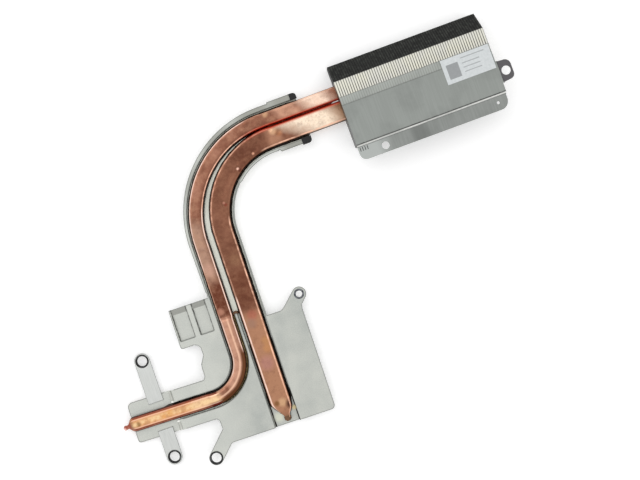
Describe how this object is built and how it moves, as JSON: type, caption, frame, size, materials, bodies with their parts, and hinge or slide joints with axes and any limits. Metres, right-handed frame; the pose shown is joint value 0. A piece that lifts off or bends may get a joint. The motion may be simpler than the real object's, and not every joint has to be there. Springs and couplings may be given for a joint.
{
  "type": "cpu heatsink",
  "caption": "Notebook cpu heatsink: flattened copper heat pipes bent from a pressed carrier plate with contact blocks into a stack of folded fins with a sheet cover.",
  "frame": {"origin": "centre of the processor contact face, the underside of the processor block", "axes": "+Z away from the board, +Y along the straight pipes towards the fin stack, +X to the right, towards the stack's far end"},
  "size_m": [0.24, 0.1729, 0.0164],
  "materials": {
    "plate_metal": "satin",
    "pipe_copper": "satin",
    "block_copper": "satin",
    "spring_steel": "satin",
    "fin_metal": "satin",
    "cover_metal": "satin",
    "label_paper": "matte",
    "edge_rubber": "matte",
    "gap_pad": "matte"
  },
  "bodies": {
    "root": {"carrier_plate": "plate_metal", "wide_heat_pipe": "pipe_copper", "narrow_heat_pipe": "pipe_copper", "cpu_contact_block": "block_copper", "chip_contact_block": "block_copper", "spring_arm_upper": "spring_steel", "spring_arm_lower": "spring_steel", "fin_stack": "fin_metal", "fin_cover": "cover_metal", "blank_label": "label_paper", "edge_pad_upper": "edge_rubber", "edge_pad_lower": "edge_rubber", "thermal_pad_outer": "gap_pad", "thermal_pad_inner": "gap_pad"}
  },
  "joints": []
}
